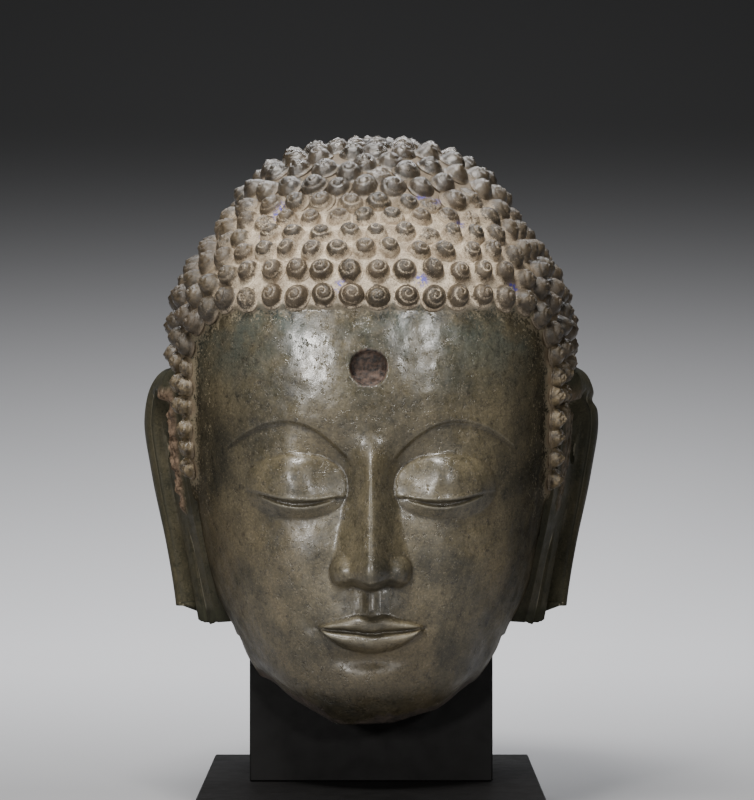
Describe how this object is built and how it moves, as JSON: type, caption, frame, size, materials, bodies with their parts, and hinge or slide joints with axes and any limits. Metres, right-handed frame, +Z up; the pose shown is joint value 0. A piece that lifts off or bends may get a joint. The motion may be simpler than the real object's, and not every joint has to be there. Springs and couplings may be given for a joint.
{
  "type": "stone buddha head on a stand",
  "caption": "Carved dark stone buddha head with a cap of snail curls, long ears with broken lobes, a drilled forehead socket and a broken neck, resting on a black block post and foot slab.",
  "frame": {"origin": "middle of the foot slab's underside, on the surface that the stand rests on", "axes": "+Z up, the face looks along -Y, +X towards the figure's left ear"},
  "size_m": [0.4832, 0.4715, 0.7166],
  "materials": {
    "stone": "satin",
    "stand": "matte"
  },
  "bodies": {
    "root": {"stone_head": "stone", "support_post": "stand", "foot_slab": "stand"}
  },
  "joints": []
}
